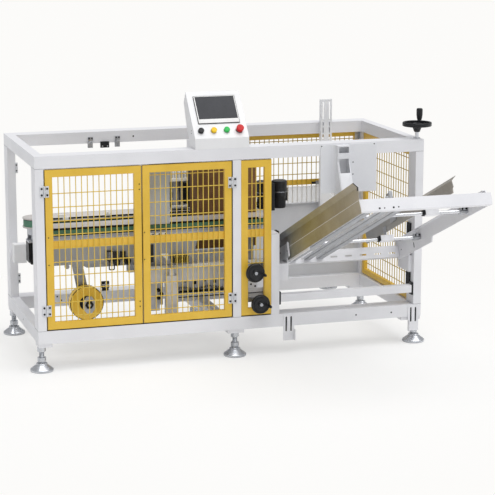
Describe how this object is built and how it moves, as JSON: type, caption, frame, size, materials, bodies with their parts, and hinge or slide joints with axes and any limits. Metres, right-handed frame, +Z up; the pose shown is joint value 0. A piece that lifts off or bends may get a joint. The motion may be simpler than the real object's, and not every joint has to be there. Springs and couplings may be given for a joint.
{
  "type": "case erector",
  "caption": "Case erecting machine: tube frame on levelling feet, yellow mesh doors and guards, side belts over a tape head, and a sloping blank hopper with guides.",
  "frame": {"origin": "middle of the whole object's footprint box, at floor level", "axes": "+X along the machine from the case outlet to the hopper end, +Y from the operator's side with the doors to the back, +Z up"},
  "size_m": [2.2647, 2.02, 1.4393],
  "materials": {
    "frame_paint": "satin white powder coat",
    "housing_paint": "satin white powder coat",
    "foot_steel": "cast, matt",
    "guard_yellow": "semi-gloss yellow powder coat",
    "panel_grey": "satin light grey",
    "strip_clear": "frosted, pale",
    "hinge_metal": "die-cast",
    "screen_dark": "dark bezel and screen",
    "button_caps": "coloured caps",
    "sheet_white": "satin white powder coat",
    "mast_steel": "satin",
    "belt_green": "green belt with fine ribs",
    "belt_plate": "beige satin",
    "beam_grey": "mid grey satin",
    "gear_metal": "die-cast",
    "motor_black": "black satin",
    "case_board": "brown corrugated board",
    "tape_steel": "brushed",
    "roller_black": "matt black",
    "tape_amber": "clear brown tape on a card core",
    "flap_grey": "satin grey",
    "hopper_white": "satin white powder coat",
    "bar_steel": "brushed",
    "rod_steel": "ground rod",
    "guide_beige": "beige satin",
    "rail_black": "black",
    "wheel_black": "black moulded",
    "bearing_metal": "cast"
  },
  "bodies": {
    "machine_frame": {"top_rails": "frame_paint", "bottom_rails": "frame_paint", "posts": "frame_paint", "levelling_feet": "foot_steel", "narrow_guard": "guard_yellow", "back_guard": "guard_yellow", "side_guard": "guard_yellow", "back_panel": "panel_grey", "back_strip": "strip_clear", "post_hinges": "hinge_metal", "control_housing": "housing_paint", "touch_screen": "screen_dark", "push_buttons": "button_caps", "stop_plate": "sheet_white", "stop_arm": "sheet_white", "mast": "mast_steel", "side_belts": "belt_green", "belt_frames": "belt_plate", "belt_beams": "beam_grey", "belt_gearboxes": "gear_metal", "belt_motors": "motor_black", "junction_box": "housing_paint", "erected_case": "case_board", "case_bed": "beam_grey", "supports": "beam_grey", "tape_head": "tape_steel", "tape_rollers": "roller_black", "flap_head": "flap_grey", "valve_block": "flap_grey", "suction_motor": "motor_black", "lift_rails": "rail_black", "lower_crossbar": "frame_paint", "crossbar_pads": "roller_black", "slotted_brackets": "frame_paint", "wheel_supports": "bearing_metal"},
    "left_door": {"left_door": "guard_yellow", "left_door_hinges": "hinge_metal"},
    "right_door": {"right_door": "guard_yellow", "right_door_hinges": "hinge_metal"},
    "hopper": {"hopper_arms": "hopper_white", "hopper_beams": "hopper_white", "slide_bars": "bar_steel", "guide_rods": "rod_steel", "left_guide": "guide_beige", "hopper_carriages": "hopper_white"},
    "side_guide": {"right_guide": "guide_beige"},
    "top_wheel": {"top_handwheel": "wheel_black"},
    "upper_wheel": {"upper_handwheel": "wheel_black"},
    "lower_wheel": {"lower_handwheel": "wheel_black"},
    "tape": {"tape_roll": "tape_amber"}
  },
  "joints": [
    {"name": "left_door_hinge", "type": "hinge", "parent": "machine_frame", "child": "left_door", "pos_m": [-1.045, 0.05837, 0.6525], "axis": [0, 0, -1], "range_deg": [0, 110]},
    {"name": "right_door_hinge", "type": "hinge", "parent": "machine_frame", "child": "right_door", "pos_m": [-0.027, 0.05837, 0.6525], "axis": [0, 0, 1], "range_deg": [0, 110]},
    {"name": "hopper_lift", "type": "slide", "parent": "machine_frame", "child": "hopper", "axis": [0, 0, 1], "range_m": [-0.05, 0.12]},
    {"name": "side_guide_slide", "type": "slide", "parent": "hopper", "child": "side_guide", "axis": [1, 0, 0], "range_m": [-0.2, 0.11]},
    {"name": "top_wheel_turn", "type": "hinge", "parent": "machine_frame", "child": "top_wheel", "pos_m": [1.052, 0.10837, 1.235], "axis": [0, 0, 1], "continuous": true},
    {"name": "upper_wheel_turn", "type": "hinge", "parent": "machine_frame", "child": "upper_wheel", "pos_m": [0.089, 0.06337, 0.475], "axis": [0, 1, 0], "continuous": true},
    {"name": "lower_wheel_turn", "type": "hinge", "parent": "machine_frame", "child": "lower_wheel", "pos_m": [0.119, 0.06337, 0.299], "axis": [0, 1, 0], "continuous": true},
    {"name": "tape_roll_turn", "type": "hinge", "parent": "machine_frame", "child": "tape", "pos_m": [-0.756, 0.43837, 0.277], "axis": [0, 1, 0], "continuous": true}
  ]
}
